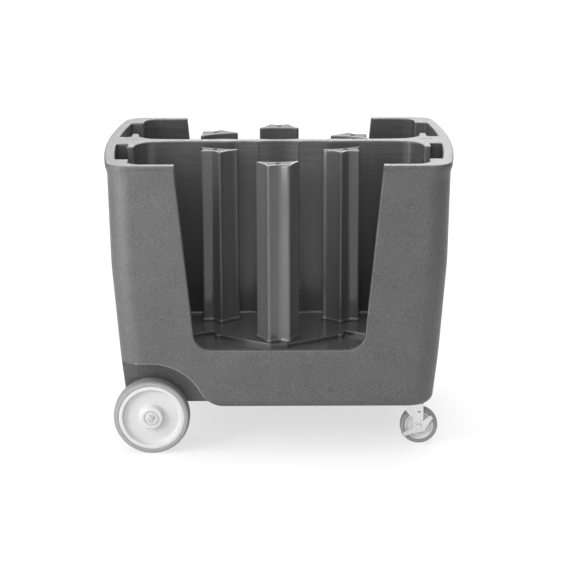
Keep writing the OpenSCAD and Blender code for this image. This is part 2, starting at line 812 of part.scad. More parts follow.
// Pressed fork: round crown and two upright legs with round feet at the axle, a slot above
// each foot and a stepped web on the leading side that runs up to the crown
module fork(s) {
    leg_top = crown_z + fork_t;
    leg_back = trail + 11.5;
    leg_front = trail - 17;
    foot_r = 16.5;
    web_step = 1.3;
    web_foot = caster_r + 26;
    color([0.83, 0.84, 0.85])
    at_swivel(s)
    difference() {
        union() {
            translate([0, 0, crown_z])
                cylinder(r = 30, h = fork_t);
            translate([0, -leg_in - fork_t, crown_z])
                cube([leg_back, 2 * (leg_in + fork_t), fork_t]);
            for (side = [-1, 1])
                translate([0, side > 0 ? leg_in + fork_t : -leg_in, 0])
                    rotate([90, 0, 0]) {
                        linear_extrude(fork_t)
                            polygon([
                                [leg_front, leg_top], [leg_back, leg_top], [leg_back, caster_r + 16],
                                [trail + foot_r - 0.8, caster_r + 5], [trail, caster_r - foot_r + 1],
                                [trail - foot_r + 0.3, caster_r + 3], [leg_front, caster_r + 12]
                            ]);
                        translate([0, 0, side > 0 ? web_step : 0])
                            linear_extrude(fork_t - web_step)
                                polygon([
                                    [-12, leg_top], [leg_front + 1, leg_top], [leg_front + 1, web_foot - 6],
                                    [leg_front - 4, web_foot], [-12, leg_top - 6]
                                ]);
                        translate([trail, caster_r, 0])
                            cylinder(r = foot_r, h = fork_t);
                    }
        }
        translate([trail - 4, -leg_in - fork_t - 1, caster_r + 42])
            cube([8, 2 * (leg_in + fork_t + 1), 3]);
        translate([0, 0, crown_z - 1])
            cylinder(r = king_r + fit_gap, h = fork_t + 2);
        translate([trail, leg_in + fork_t + 1, caster_r])
            rotate([90, 0, 0])
                cylinder(r = caster_axle_r, h = 2 * (leg_in + fork_t + 1));
    }
}

module caster_core(s) {
    half = caster_w / 2;
    color([0.82, 0.82, 0.82])
    on_caster_axle(s)
    difference() {
        rotate_extrude()
            polygon([
                [0, -half - 2], [12, -half - 2], [13, -half + 4], [34, -half + 6], [36, -half + 1], [core_r, -half + 1],
                [core_r, half - 1], [36, half - 1], [34, half - 6], [13, half - 4], [12, half + 2], [0, half + 2]
            ]);
        translate([0, 0, -half - 3])
            cylinder(r = sleeve_r + fit_gap, h = caster_w + 6);
    }
}

module caster_tread(s) {
    half = caster_w / 2;
    color([0.5, 0.5, 0.51])
    on_caster_axle(s)
        rotate_extrude()
            polygon([
                [core_r, -half + 1], [core_r + 3, -half], [caster_r - 5, -half], [caster_r - 1, -half + 4],
                [caster_r, -half + 8], [caster_r, half - 8], [caster_r - 1, half - 4], [caster_r - 5, half],
                [core_r + 3, half], [core_r, half - 1]
            ]);
}

module caster_sleeve(s) {
    color(zinc)
    on_caster_axle(s)
        translate([0, 0, -leg_in])
            difference() {
                cylinder(r = sleeve_r, h = 2 * leg_in);
                translate([0, 0, -1])
                    cylinder(r = caster_axle_r, h = 2 * leg_in + 2);
            }
}

lever_t = 2.5;
lever_z = leg_in + fork_t + lever_gap;
bolt_end = lever_z + lever_t + lever_gap;

module caster_bolt(s) {
    head_h = 6.5;
    color(zinc)
    on_caster_axle(s) {
        translate([0, 0, -leg_in - fork_t - head_h])
            cylinder(r = 17 / 2 / cos(30), h = head_h, $fn = 6);
        translate([0, 0, -leg_in - fork_t - 0.01])
            cylinder(r = caster_axle_r, h = leg_in + fork_t + bolt_end + 11);
    }
}

module caster_nut(s) {
    color(zinc)
    on_caster_axle(s)
        translate([0, 0, bolt_end])
            hex_nut(17, 8, caster_axle_r);
}

// Pressed brake lever on the outer side: a toe pad at the lower front, a broad wing to the
// upper rear with a turned-out tip, and a round middle on the axle bolt
module brake_lever(s) {
    arm = [33, -30];
    pad = [-44, 21];
    pad_w = 11;
    cam_r = 15;
    color([0.88, 0.89, 0.9])
    on_caster_axle(s)
    difference() {
        union() {
            translate([0, 0, lever_z])
                linear_extrude(lever_t)
                    polygon([
                        [-14, -5], [-5, -14], [11, -18.5], arm + [-5, -2], arm + [0, -3], arm + [3, 0],
                        arm + [2, 6], [14, 14], [3, 15], [-12, 18.7], pad + [5, 6], pad + [1, 5],
                        pad + [-2, 0], pad + [2, -6], [-17, 3]
                    ]);
            translate([0, 0, lever_z])
                cylinder(r = cam_r, h = lever_t);
            translate([pad[0] - 1.5, pad[1], lever_z])
                rotate([0, 0, 59])
                    translate([-5, -lever_t / 2, 0])
                        cube([10, lever_t, pad_w]);
            translate([arm[0] + 2.5, arm[1] + 1.5, lever_z])
                rotate([0, 0, 70])
                    translate([-3, -lever_t / 2 + 0.3, 0])
                        cube([8, lever_t, pad_w - 3]);
        }
        translate([0, 0, lever_z - 1])
            cylinder(r = caster_axle_r + fit_gap, h = lever_t + 2);
    }
}

body_shell();
tower(0);  // tower_front_left
tower(1);  // tower_front_centre
tower(2);  // tower_front_right
tower(3);  // tower_back_left
tower(4);  // tower_back_centre
tower(5);  // tower_back_right
rear_axle();
axle_bracket(-1);  // axle_bracket_front
axle_bracket(1);  // axle_bracket_back
bracket_bolts();
axle_spacer(-1);  // axle_spacer_front
axle_spacer(1);  // axle_spacer_back
axle_washers();
axle_nuts();
wheel_hub(-1);  // wheel_hub_front
wheel_bush(-1);  // wheel_bush_front
tyre(-1);  // tyre_front
wheel_hub(1);  // wheel_hub_back
wheel_bush(1);  // wheel_bush_back
tyre(1);  // tyre_back
caster_plate(-1);  // caster_plate_front
plate_bolts(-1);  // plate_bolts_front
swivel_race(-1);  // swivel_race_front
kingpin(-1);  // kingpin_front
fork(-1);  // fork_front
caster_core(-1);  // caster_core_front
caster_tread(-1);  // caster_tread_front
caster_sleeve(-1);  // caster_sleeve_front
caster_bolt(-1);  // caster_bolt_front
caster_nut(-1);  // caster_nut_front
brake_lever(-1);  // brake_lever_front
caster_plate(1);  // caster_plate_back
plate_bolts(1);  // plate_bolts_back
swivel_race(1);  // swivel_race_back
kingpin(1);  // kingpin_back
fork(1);  // fork_back
caster_core(1);  // caster_core_back
caster_tread(1);  // caster_tread_back
caster_sleeve(1);  // caster_sleeve_back
caster_bolt(1);  // caster_bolt_back
caster_nut(1);  // caster_nut_back
brake_lever(1);  // brake_lever_back
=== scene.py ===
# Plate cart: moulded body with two bays, six loose towers, two large wheels and two swivel casters
import math
import bmesh
import bpy
import numpy as np
from mathutils import Matrix, Vector


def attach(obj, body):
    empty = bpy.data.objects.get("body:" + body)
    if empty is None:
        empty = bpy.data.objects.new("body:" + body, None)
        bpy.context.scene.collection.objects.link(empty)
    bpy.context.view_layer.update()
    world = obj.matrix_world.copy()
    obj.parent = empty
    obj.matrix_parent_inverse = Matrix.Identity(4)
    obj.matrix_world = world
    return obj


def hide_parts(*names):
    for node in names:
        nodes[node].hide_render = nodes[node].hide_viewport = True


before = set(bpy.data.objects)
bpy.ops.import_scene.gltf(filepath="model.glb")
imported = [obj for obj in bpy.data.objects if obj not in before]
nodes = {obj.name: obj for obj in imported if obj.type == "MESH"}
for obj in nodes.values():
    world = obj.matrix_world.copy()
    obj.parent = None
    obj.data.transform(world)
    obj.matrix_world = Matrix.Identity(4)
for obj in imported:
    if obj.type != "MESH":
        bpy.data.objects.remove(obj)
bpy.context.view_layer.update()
mm = 0.001
sharpAngle = dict(drawn=32, cut=30, metal=34)  # edges that turn by more than this many degrees stay crisp


# Meshes from arrays

def smoothByAngle(obj, degrees):
    mesh = obj.data
    mesh.polygons.foreach_set("use_smooth", np.ones(len(mesh.polygons), bool))
    mesh.set_sharp_from_angle(angle=math.radians(degrees))
    mesh.update()


def newPiece(name, points, faces, mat):
    # the points are in millimetres, and the mesh in metres
    mesh = bpy.data.meshes.new(name)
    mesh.from_pydata((np.asarray(points, float) * mm).tolist(), [], [list(map(int, f)) for f in faces])
    mesh.materials.append(mat)
    obj = bpy.data.objects.new(name, mesh)
    bpy.context.scene.collection.objects.link(obj)
    smoothByAngle(obj, sharpAngle["drawn"])
    return obj


def threes(items, key):
    # a row of three numbers for each vertex or face of a mesh
    values = np.zeros(len(items) * 3)
    items.foreach_get(key, values)
    return values.reshape(-1, 3)


def gridFaces(rows, cols):
    # quads between neighbouring rows of a grid whose rows close on themselves
    i = np.arange(cols)
    j = (i + 1) % cols
    k = np.arange(rows - 1)[:, None] * cols
    return np.stack([k + i, k + j, k + cols + j, k + cols + i], -1).reshape(-1, 4)


def skin(name, rings, hubs, mat):
    # rings[k][i] is ring k's point i; each ring is joined to the next, and both ends are fanned from a hub
    rings = np.asarray(rings, float)
    rows, cols = rings.shape[:2]
    points = np.vstack([rings.reshape(-1, 3), np.asarray(hubs, float)])
    i = np.arange(cols)
    j = (i + 1) % cols
    first = np.stack([np.full(cols, rows * cols), j, i], -1)
    last = np.stack([np.full(cols, rows * cols + 1), (rows - 1) * cols + i, (rows - 1) * cols + j], -1)
    return newPiece(name, points, gridFaces(rows, cols).tolist() + first.tolist() + last.tolist(), mat)


def plug(name, rings, mat):
    # a closed prism of any outline, with flat ends
    rings = np.asarray(rings)
    rows, cols = rings.shape[:2]
    ends = [list(range(cols))[::-1], [(rows - 1) * cols + i for i in range(cols)]]
    return newPiece(name, rings.reshape(-1, 3), gridFaces(rows, cols).tolist() + ends, mat)


def roundPlug(name, x, y, z0, z1, r, mat):
    # an upright cylinder
    p = arc(x, y, r, 0, 360, 64)[:-1]
    return plug(name, [atHeight(p, z0), atHeight(p, z1)], mat)


def arc(cx, cy, r, a0, a1, n):
    # n + 1 points on a circle about (cx, cy) from angle a0 to a1
    a = np.radians(np.linspace(a0, a1, n + 1))
    return np.c_[cx + r * np.cos(a), cy + r * np.sin(a)]


def atHeight(outline, z):
    # a flat outline lifted to height z
    return np.c_[outline, np.full(len(outline), z)]


def roundedPath(points, radius, steps):
    # a corner p becomes the curve (1 - t)^2 start + 2t(1 - t) p + t^2 end, which begins and ends where a
    # round of the given radius would, or closer to the corner where its sides are short
    points = [np.array(p, float) for p in points]
    out = [points[0]]
    for k in range(1, len(points) - 1):
        a, p, b = points[k - 1], points[k], points[k + 1]
        u, v = (a - p), (b - p)
        lu, lv = np.linalg.norm(u), np.linalg.norm(v)
        u, v = u / lu, v / lv
        half = math.acos(np.clip(u @ v, -1, 1)) / 2
        if half > math.radians(88):
            out.append(p)
            continue
        cut = min(radius / math.tan(half), 0.48 * lu, 0.48 * lv)
        t = np.linspace(0, 1, steps + 1)[:, None]
        start, end = p + u * cut, p + v * cut
        out.extend((1 - t) ** 2 * start + 2 * t * (1 - t) * p + t ** 2 * end)
    out.append(points[-1])
    return np.array(out)


def revolve(name, profile, place, mat, steps):
    # a closed profile of (radius, height) pairs turns about +Z; place carries the points to where the part is
    profile = np.asarray(profile, float)
    a = np.linspace(0, 2 * np.pi, steps, endpoint=False)
    r, h = profile[:, 0][:, None], profile[:, 1][:, None]
    rings = np.stack([r * np.cos(a), r * np.sin(a), h + 0 * a], -1)
    i = np.arange(steps)
    j = (i + 1) % steps
    last = (len(profile) - 1) * steps
    faces = np.vstack([gridFaces(len(profile), steps), np.stack([last + i, last + j, j, i], -1)])
    obj = newPiece(name, place(rings.reshape(-1, 3)), faces, mat)
    closePoles(obj)
    return obj


def applied(obj):
    # the object's modifiers become its mesh
    depsgraph = bpy.context.evaluated_depsgraph_get()
    mesh = bpy.data.meshes.new_from_object(obj.evaluated_get(depsgraph))
    old = obj.data
    obj.modifiers.clear()
    obj.data = mesh
    bpy.data.meshes.remove(old)


def evenShading(obj):
    # flat faces keep an even tone beside their small rounds
    mod = obj.modifiers.new("evenShading", "WEIGHTED_NORMAL")
    mod.keep_sharp = True
    applied(obj)


def closePoles(obj):
    # doubles are merged, then all faces turn outwards
    bm = bmesh.new()
    bm.from_mesh(obj.data)
    bmesh.ops.remove_doubles(bm, verts=bm.verts, dist=1e-6)
    bmesh.ops.dissolve_degenerate(bm, edges=bm.edges, dist=1e-7)
    bmesh.ops.recalc_face_normals(bm, faces=bm.faces)
    bm.to_mesh(obj.data)
    bm.free()
    smoothByAngle(obj, sharpAngle["drawn"])
    evenShading(obj)


def shapedBy(obj, others, operation):
    # the others are cut from the object, or united with it, and are gone afterwards
    for other in others:
        mod = obj.modifiers.new("shapedBy", "BOOLEAN")
        mod.operation = operation
        mod.solver = "MANIFOLD"
        mod.object = other
    applied(obj)
    for other in others:
        bpy.data.objects.remove(other)


# Materials

def material(name, grey, rough, **sockets):
    mat = bpy.data.materials.new(name)
    mat.use_nodes = True
    shader = mat.node_tree.nodes["Principled BSDF"]
    shader.inputs["Base Color"].default_value = (grey, grey, grey, 1)
    shader.inputs["Roughness"].default_value = rough
    for key, value in sockets.items():
        shader.inputs[key].default_value = value
    return mat, shader


def link(owner, a, outName, b, inName):
    owner.node_tree.links.new(a.outputs[outName], b.inputs[inName])


def node(owner, kind, **settings):
    # each setting is a property of the node, or else the value of its socket
    n = owner.node_tree.nodes.new(kind)
    for key, value in settings.items():
        if hasattr(n, key):
            setattr(n, key, value)
        else:
            n.inputs[key].default_value = value
    return n


def mathNode(owner, operation, a, aName, b, bName):
    # one number worked out from two
    n = node(owner, "ShaderNodeMath", operation=operation)
    link(owner, a, aName, n, 0)
    link(owner, b, bName, n, 1)
    return n


def mapRange(owner, source, outName, fromRange, toRange, **settings):
    # the source goes over fromRange while the result goes over toRange
    n = node(owner, "ShaderNodeMapRange", **settings)
    n.inputs["From Min"].default_value, n.inputs["From Max"].default_value = fromRange
    n.inputs["To Min"].default_value, n.inputs["To Max"].default_value = toRange
    link(owner, source, outName, n, "Value")
    return n


def objectCoords(mat, scale=(1, 1, 1)):
    coords = node(mat, "ShaderNodeTexCoord")
    mapping = node(mat, "ShaderNodeMapping")
    mapping.inputs["Scale"].default_value = scale
    link(mat, coords, "Object", mapping, "Vector")
    return mapping


def noise(mat, coords, scale, detail, rough=0.5):
    n = node(mat, "ShaderNodeTexNoise", Scale=scale, Detail=detail, Roughness=rough)
    link(mat, coords, "Vector", n, "Vector")
    return n


def ramp(mat, source, outName, low, high):
    # low and high are each a value of the source and the grey that it gives
    r = node(mat, "ShaderNodeValToRGB")
    for element, (place, grey) in zip(r.color_ramp.elements, (low, high)):
        element.position = place
        element.color = (grey, grey, grey, 1)
    link(mat, source, outName, r, "Fac")
    return r


def raised(mat, shader, source, outName, strength, depth):
    bump = node(mat, "ShaderNodeBump", Strength=strength, Distance=depth)
    link(mat, source, outName, bump, "Height")
    link(mat, bump, "Normal", shader, "Normal")


def driftingGloss(mat, shader, source, low, high):
    gloss = mapRange(mat, source, "Fac", (0, 1), (low, high))
    link(mat, gloss, "Result", shader, "Roughness")


def lifted(mat, colour):
    # a second colour is added to the first, as far as the share says; these sockets go by number, because
    # the node has others of the same names
    mix = node(mat, "ShaderNodeMix", data_type="RGBA", blend_type="ADD")
    mat.node_tree.links.new(colour, mix.inputs[6])
    return dict(share=mix.inputs[0], second=mix.inputs[7], result=mix.outputs[2])


mouldedLook = {
    "outer": dict(grey=0.059, rough=(0.40, 0.46), shine=1.0, pebble=330, bump=0.85, depth=0.0008,
                  mottle=0.036, drift=0.18, streak=0, rubAndLitTop=0),
    # the inner walls' rub is scuff marks with painted light: paler towards the rim, where more light falls
    "inner": dict(grey=0.049, rough=(0.20, 0.23), shine=0.53, pebble=300, bump=0.05, depth=0.0003,
                  mottle=0.004, drift=0.5, streak=0.008, rubAndLitTop=0.045),
    "tower": dict(grey=0.091, rough=(0.11, 0.14), shine=0.57, pebble=260, bump=0.03, depth=0.0003,
                  mottle=0.004, drift=0.5, streak=0.007, rubAndLitTop=0),
    # the edge look is a painted highlight: a paler grey on the round along each wheel arch
    "edge": dict(grey=0.20, rough=(0.34, 0.40), shine=1.0, pebble=360, bump=0.20, depth=0.0004,
                 mottle=0.010, drift=0.25, streak=0, rubAndLitTop=0),
}
# fine and speck are multiples of a look's pebble scale; marks, and the scuffs with their painted light, are
# noise, stretched
pebbles = dict(fine=2.2, speck=0.95, soft=0.6, wide=11.0, low=0.34, high=0.66)
streaks = dict(stretch=(95, 95, 2.2), low=0.42, high=0.80)
scuffAndLightBand = dict(stretch=(7, 7, 150), low=0.38, high=0.72, least=0.3, bottom=0.66, top=0.80)


def mouldedPlastic(name, look):
    # fine pebbled skin: small cells and finer noise raise the surface, wide noise shifts its tone and gloss
    grey, m = look["grey"], look["mottle"]
    mat, shader = material(name, grey, sum(look["rough"]) / 2)
    shader.inputs["Specular IOR Level"].default_value = look["shine"]
    coords = objectCoords(mat)
    cells = node(mat, "ShaderNodeTexVoronoi", feature="SMOOTH_F1", Scale=look["pebble"],
                 Smoothness=pebbles["soft"])
    link(mat, coords, "Vector", cells, "Vector")
    fine = noise(mat, coords, look["pebble"] * pebbles["fine"], 3.0, pebbles["soft"])
    wide = noise(mat, coords, pebbles["wide"], 4.0, 0.55)
    speck = noise(mat, coords, look["pebble"] * pebbles["speck"], 2.0, pebbles["soft"])
    height = mathNode(mat, "ADD", cells, "Distance", fine, "Fac")
    raised(mat, shader, height, "Value", look["bump"], look["depth"])
    tone = node(mat, "ShaderNodeMix", data_type="FLOAT")
    tone.inputs["Factor"].default_value = look["drift"]
    link(mat, speck, "Fac", tone, "A")
    link(mat, wide, "Fac", tone, "B")
    colours = ramp(mat, tone, "Result", (pebbles["low"], grey - m), (pebbles["high"], grey + m))
    colour = colours.outputs["Color"]
    if look["streak"]:
        colour = drawMarks(mat, colour, look["streak"])
    # painted light with scuffs: the tone lifts towards the rim
    if look["rubAndLitTop"]:
        colour = scuffsAndPaintedLight(mat, colour, look["rubAndLitTop"])
    mat.node_tree.links.new(colour, shader.inputs["Base Color"])
    driftingGloss(mat, shader, wide, *look["rough"])
    return mat


def drawMarks(mat, colour, amount):
    # faint upright marks of the moulding: noise stretched along the height lifts the tone a little
    mix = lifted(mat, colour)
    mix["share"].default_value = 1.0
    marks = noise(mat, objectCoords(mat, streaks["stretch"]), 1.0, 3.0, 0.7)
    pale = ramp(mat, marks, "Fac", (streaks["low"], 0), (streaks["high"], amount))
    mat.node_tree.links.new(pale.outputs["Color"], mix["second"])
    return mix["result"]


def scuffsAndPaintedLight(mat, colour, amount):
    # plates scuff the walls below the rim, and painted light makes them paler towards the rim: level noise,
    # fading in over the top of the wall, lifts the tone
    mix = lifted(mat, colour)
    mix["second"].default_value = (amount, amount, amount, 1)
    level = noise(mat, objectCoords(mat, scuffAndLightBand["stretch"]), 1.0, 4.0, 0.7)
    marks = mapRange(mat, level, "Fac", (scuffAndLightBand["low"], scuffAndLightBand["high"]), (scuffAndLightBand["least"], 1.0))
    parts = node(mat, "ShaderNodeSeparateXYZ")
    link(mat, objectCoords(mat), "Vector", parts, "Vector")
    height = mapRange(mat, parts, "Z", (scuffAndLightBand["bottom"], scuffAndLightBand["top"]), (0, 1),
                      interpolation_type="SMOOTHSTEP")
    share = mathNode(mat, "MULTIPLY", marks, "Result", height, "Result")
    mat.node_tree.links.new(share.outputs["Value"], mix["share"])
    return mix["result"]


grainedLook = {
    "plastic": dict(cloud=60, detail=4.0, soft=0.5, low=0.3, high=0.70, grain=900, bump=0.06, depth=0.0002),
    "rubber": dict(cloud=35, detail=6.0, soft=0.6, low=0.3, high=0.72, grain=1400, bump=0.15, depth=0.0002),
}
platedLook = dict(patch=120, detail=5.0, soft=0.6, low=0.3, high=0.7, spangle=0.03, drift=0.07)


def grained(name, look, grey, rough, mottle):
    # smooth plastic or rubber: wide noise shifts the tone, and a fine grain raises the surface
    mat, shader = material(name, grey, rough)
    coords = objectCoords(mat)
    clouds = noise(mat, coords, look["cloud"], look["detail"], look["soft"])
    colours = ramp(mat, clouds, "Fac", (look["low"], grey - mottle), (look["high"], grey + mottle))
    link(mat, colours, "Color", shader, "Base Color")
    raised(mat, shader, noise(mat, coords, look["grain"], 2.0), "Fac", look["bump"], look["depth"])
    return mat


def plated(name, look, grey, rough):
    # zinc plating: a metal whose tone and gloss drift in small patches
    mat, shader = material(name, grey, rough, Metallic=1.0)
    patch = noise(mat, objectCoords(mat), look["patch"], look["detail"], look["soft"])
    spangle, drift = look["spangle"], look["drift"]
    colours = ramp(mat, patch, "Fac", (look["low"], grey - spangle), (look["high"], grey + spangle))
    link(mat, colours, "Color", shader, "Base Color")
    driftingGloss(mat, shader, patch, rough - drift, rough + drift)
    return mat


shellSkin = mouldedPlastic("pebbledCharcoal", mouldedLook["outer"])
shellInside = mouldedPlastic("smoothCharcoal", mouldedLook["inner"])
towerSkin = mouldedPlastic("towerCharcoal", mouldedLook["tower"])
# painted highlight: the paler skin for the round along each wheel arch
shellEdgeHighlight = mouldedPlastic("highlightCharcoalEdge", mouldedLook["edge"])
# grey and roughness, and how far the grey drifts
hubWhite = grained("offWhiteHub", grainedLook["plastic"], 0.56, 0.46, 0.012)
bushDark = grained("darkBush", grainedLook["plastic"], 0.06, 0.45, 0.01)
tyreGrey = grained("greyTyre", grainedLook["rubber"], 0.29, 0.66, 0.012)
# painted shade: a darker grey for the rear tyre's running surface
treadInPaintedShade = grained("shadedTread", grainedLook["rubber"], 0.23, 0.72, 0.016)
treadDark = grained("darkTread", grainedLook["rubber"], 0.27, 0.55, 0.012)
coreGrey = grained("paleCore", grainedLook["plastic"], 0.70, 0.34, 0.012)
zincDull = plated("zincPlate", platedLook, 0.56, 0.24)
zincBright = plated("brightZinc", platedLook, 0.74, 0.26)
print("materials made")

# Body shell

body = dict(length=970, width=730, height=816, base=133, bow=2200, corner=64, foot=24, crease=525,
            footTop=266, sideDraft=1.7, topDraft=0.85, endDraft=4.1, footDraft=2.3, kink=22, settle=40, lip=6,
            lipZ=774, lipSweep=1.7, bandH=12, bandD=2.5, bandUnder=1.2, edge=4)
bay = dict(u=337, x=404, floor=311, draft=0.7, corner=40, floorR=7, midT=9, ridgeT=20, shortT=14, longT=15,
           ridgeIn=58, ridgeOut=145, flare=64, blend=4, postU=100, postT=20, postR=5, stemU=52, lipU=268,
           grip=28, pocketR=8, pocketZ=560, fold=25)
opening = dict(width=556, slant=5.4, sill=300, radius=50, fadeFrom=20, fadeOver=40)
arch = dict(x=-353, cz=108, radius=153, y=283, foot=90, inner=10, lipFrom=6, lipTo=215, lipSlack=0.6)
dimple = dict(x=418, radius=19, depth=1.2)
socket = dict(radius=12.05, depth=20)
drip = dict(corner=5, edge=2.5)
skinSplit = dict(u=1.5, x=0.8, low=299, high=812.2, level=0.2, steep=0.97, lip=0.3)  # where skins meet
bowX = body["length"] / 2 - body["bow"]


def tanDeg(a):
    return math.tan(math.radians(a))


def endInsetPlain(z):
    # an end wall leans in by each slope's tangent times the height below the level where that slope starts
    z = np.minimum(z, body["height"])
    top = (body["height"] - np.maximum(z, body["crease"])) * tanDeg(body["topDraft"])
    low = np.maximum(body["crease"] - z, 0) * tanDeg(body["endDraft"])
    return top + low + np.maximum(body["footTop"] - z, 0) * tanDeg(body["footDraft"])


def endInset(z):
    # the creases are softened by averaging the lean over a short height; the lip sweeps out to the rim
    z = np.asarray(z, float)
    spread = np.linspace(-body["kink"], body["kink"], 9)
    reach = np.clip((z - body["base"]) / body["settle"], 0, 1)[..., None]
    t = np.clip((z - body["lipZ"]) / (body["height"] - body["bandH"] - body["lipZ"]), 0, 1)
    lean = endInsetPlain(z[..., None] + spread * reach).mean(-1)
    return lean * (1 - t) + body["lip"] * (1 - t ** body["lipSweep"])


def sideInset(z):
    # a long side leans in by its draft's tangent times the height below the rim
    return (body["height"] - z) * tanDeg(body["sideDraft"])


def footInset(z):
    # the foot's quarter round: r - sqrt(r^2 - k^2), k being how far z lies below the round's upper end
    r = body["foot"]
    k = np.clip(r - (z - body["base"]), 0, r)
    return r - np.sqrt(np.maximum(r ** 2 - k ** 2, 0))


def sideY(z):
    # the outer face of a long side at height z
    return body["width"] / 2 - sideInset(z) - footInset(np.maximum(z, body["base"]))


def bodyOutline(dx, dy, dr, bowSteps=8, cornerSteps=20):
    # bowed ends of a large radius run tangent into the corners; dx, dy and dr draw the outline in
    r, big, hw = body["corner"] - dr, body["bow"] - dx, body["width"] / 2 - dy
    turn = math.degrees(math.asin((hw - r) / (big - r)))
    cx = bowX + (big - r) * math.cos(math.radians(turn))
    quarter = np.vstack([arc(bowX, 0, big, 0, turn, bowSteps), arc(cx, hw - r, r, turn, 90, cornerSteps)[1:]])
    upper = np.vstack([quarter, quarter[::-1] * [-1, 1]])
    return np.vstack([upper, upper[1:-1][::-1] * [1, -1]])


def bodyRings():
    # the outline at one height after another: foot round, walls, shoulder, band and rim round
    e, r, bandD, bandH = body["edge"], body["foot"], body["bandD"], body["bandH"]
    rings = []
    for a in np.radians(np.linspace(0, 90, 11)):
        z, d = body["base"] + r * (1 - math.cos(a)), r * (1 - math.sin(a))
        rings.append(atHeight(bodyOutline(endInset(z) + d, sideInset(z) + d, d * 0.6), z))
    shoulder = body["height"] - bandH - bandD
    walls = np.r_[np.linspace(body["base"] + r + 12, 480, 14), np.linspace(490, 560, 9),
                  np.linspace(590, 760, 7), np.linspace(body["lipZ"], shoulder - body["bandUnder"], 6)]
    for z in walls:
        rings.append(atHeight(bodyOutline(endInset(z), sideInset(z), 0), z))
    for a in np.radians(np.linspace(0, 90, 5)[1:]):  # the shoulder under the band is a small quarter round
        z, d = shoulder - body["bandUnder"] + 3.0 * math.sin(a), bandD * (1 - math.cos(a))
        rings.append(atHeight(bodyOutline(endInset(z), sideInset(shoulder) + d, d), z))
    for z in (body["height"] - bandH + 1.5, body["height"] - e - 1):
        rings.append(atHeight(bodyOutline(0, bandD, bandD), z))
    for a in np.radians(np.linspace(90, 0, 8)):
        z, d = body["height"] - e * (1 - math.cos(a)), e * (1 - math.sin(a))
        rings.append(atHeight(bodyOutline(d, bandD + d, bandD + d), z))
    return rings


def hollowRadius(half, depth):
    # the circle through a chord of this half length that bows by this depth: (half^2 + depth^2) / 2 depth
    return (half ** 2 + depth ** 2) / (2 * depth)


def hollowU(x, xc, t, r, e):
    # the near side of a circle of radius r - e about (xc, t + r)
    return t + r - np.sqrt(np.maximum((r - e) ** 2 - (x - xc) ** 2, 1))


def softMin(a, b, k):
    # the smaller of two values, less h^2 k / 4: h grows from 0 to 1 as their difference goes from k to 0
    h = np.maximum(k - np.abs(a - b), 0) / k
    return np.minimum(a, b) - h * h * k / 4


flareX = bay["x"] - bay["flare"]
shortX, longX = (bay["ridgeIn"] + bay["ridgeOut"]) / 2, (bay["ridgeOut"] + flareX) / 2
midR = hollowRadius(bay["ridgeIn"], bay["ridgeT"] - bay["midT"])
shortR = hollowRadius((bay["ridgeOut"] - bay["ridgeIn"]) / 2, bay["ridgeT"] - bay["shortT"])
longR = hollowRadius(longX - bay["ridgeOut"], bay["ridgeT"] - bay["longT"])
longU = bay["longT"] + longR
flareU = longU - math.sqrt((longR - bay["flare"]) ** 2 - (flareX - longX) ** 2)
flareA = math.degrees(math.atan2(flareX - longX, longU - flareU))


def dividerU(x, e):
    # three shallow hollows side by side, whose ridges are rounded
    k = bay["blend"]
    a = softMin(hollowU(x, 0, bay["midT"], midR, e), hollowU(x, shortX, bay["shortT"], shortR, e), k)
    return softMin(a, hollowU(x, longX, bay["longT"], longR, e), k)


def gripX(u):
    # the pocket's far side keeps the grip's width from the bowed end: bow centre + sqrt(radius^2 - u^2)
    return bowX + np.sqrt((body["bow"] - bay["grip"]) ** 2 - u ** 2)


def pocketPoints(e):
    # the pocket in plan: round corners at the end post and the bay's wall, and the far side between them
    p, r = bay["postR"], bay["pocketR"]
    back, near, far = bay["x"] + bay["postT"], bay["stemU"] + r, bay["lipU"] - r
    u = np.linspace(near, far, 12)[1:-1]
    return np.vstack([
        arc(bay["x"] + p, bay["postU"] - p, p + e, 180, 90, 7),
        arc(back - p, bay["postU"] - p, p + e, 90, 0, 7),
        arc(back + r, near, r - e, 180, 270, 7),
        arc(gripX(near) - r, near, r - e, 270, 360, 7),
        np.c_[gripX(u) - e, u],
        arc(gripX(far) - r, far, r - e, 0, 90, 7),
        arc(bay["x"] + p, bay["lipU"] + p, p + e, 270, 180, 7)])


def foldedPoints(e):
    # as many points as the pocket has, in a straight row on the bay's end face
    n, far = len(pocketPoints(0)), bay["lipU"] + bay["postR"]
    return np.c_[np.full(n, bay["x"] - e), flareU + (far - flareU) * np.arange(1, n + 1) / n]


def bayOutline(e, folded=0.0):
    # folded runs from 0, pockets open, to 1, where their points lie on the bay's end face
    step, inner, outer = 6, bay["ridgeIn"], bay["ridgeOut"]
    xs = np.r_[np.linspace(0, inner - step, 14), np.linspace(inner - step + 1, inner + step - 1, 9),
               np.linspace(inner + step, outer - step, 14), np.linspace(outer - step + 1, outer + step, 9)]
    longA = math.degrees(math.asin((outer + 2 * step - longX) / longR))
    flareAngles, flareR = np.radians((flareA - 90) * (1 - np.arange(1, 15) / 14)), bay["flare"] - e
    half = np.vstack([
        np.c_[xs, dividerU(xs, e)],
        arc(longX, longU, longR - e, longA - 90, flareA - 90, 12),
        np.c_[flareX + flareR * np.cos(flareAngles), flareU + flareR * np.sin(flareAngles)],
        (1 - folded) * pocketPoints(e) + folded * foldedPoints(e),
        arc(bay["x"] - bay["corner"], bay["u"] - bay["corner"], bay["corner"] - e, 0, 90, 14)])
    return np.vstack([half, half[1:][::-1] * [-1, 1]])


def onSide(rings, side):
    # rings drawn for the back side, or mirrored to the front one with their faces still turned outwards
    rings = np.array(rings) * [1, side, 1]
    return rings[:, ::-1] if side < 0 else rings


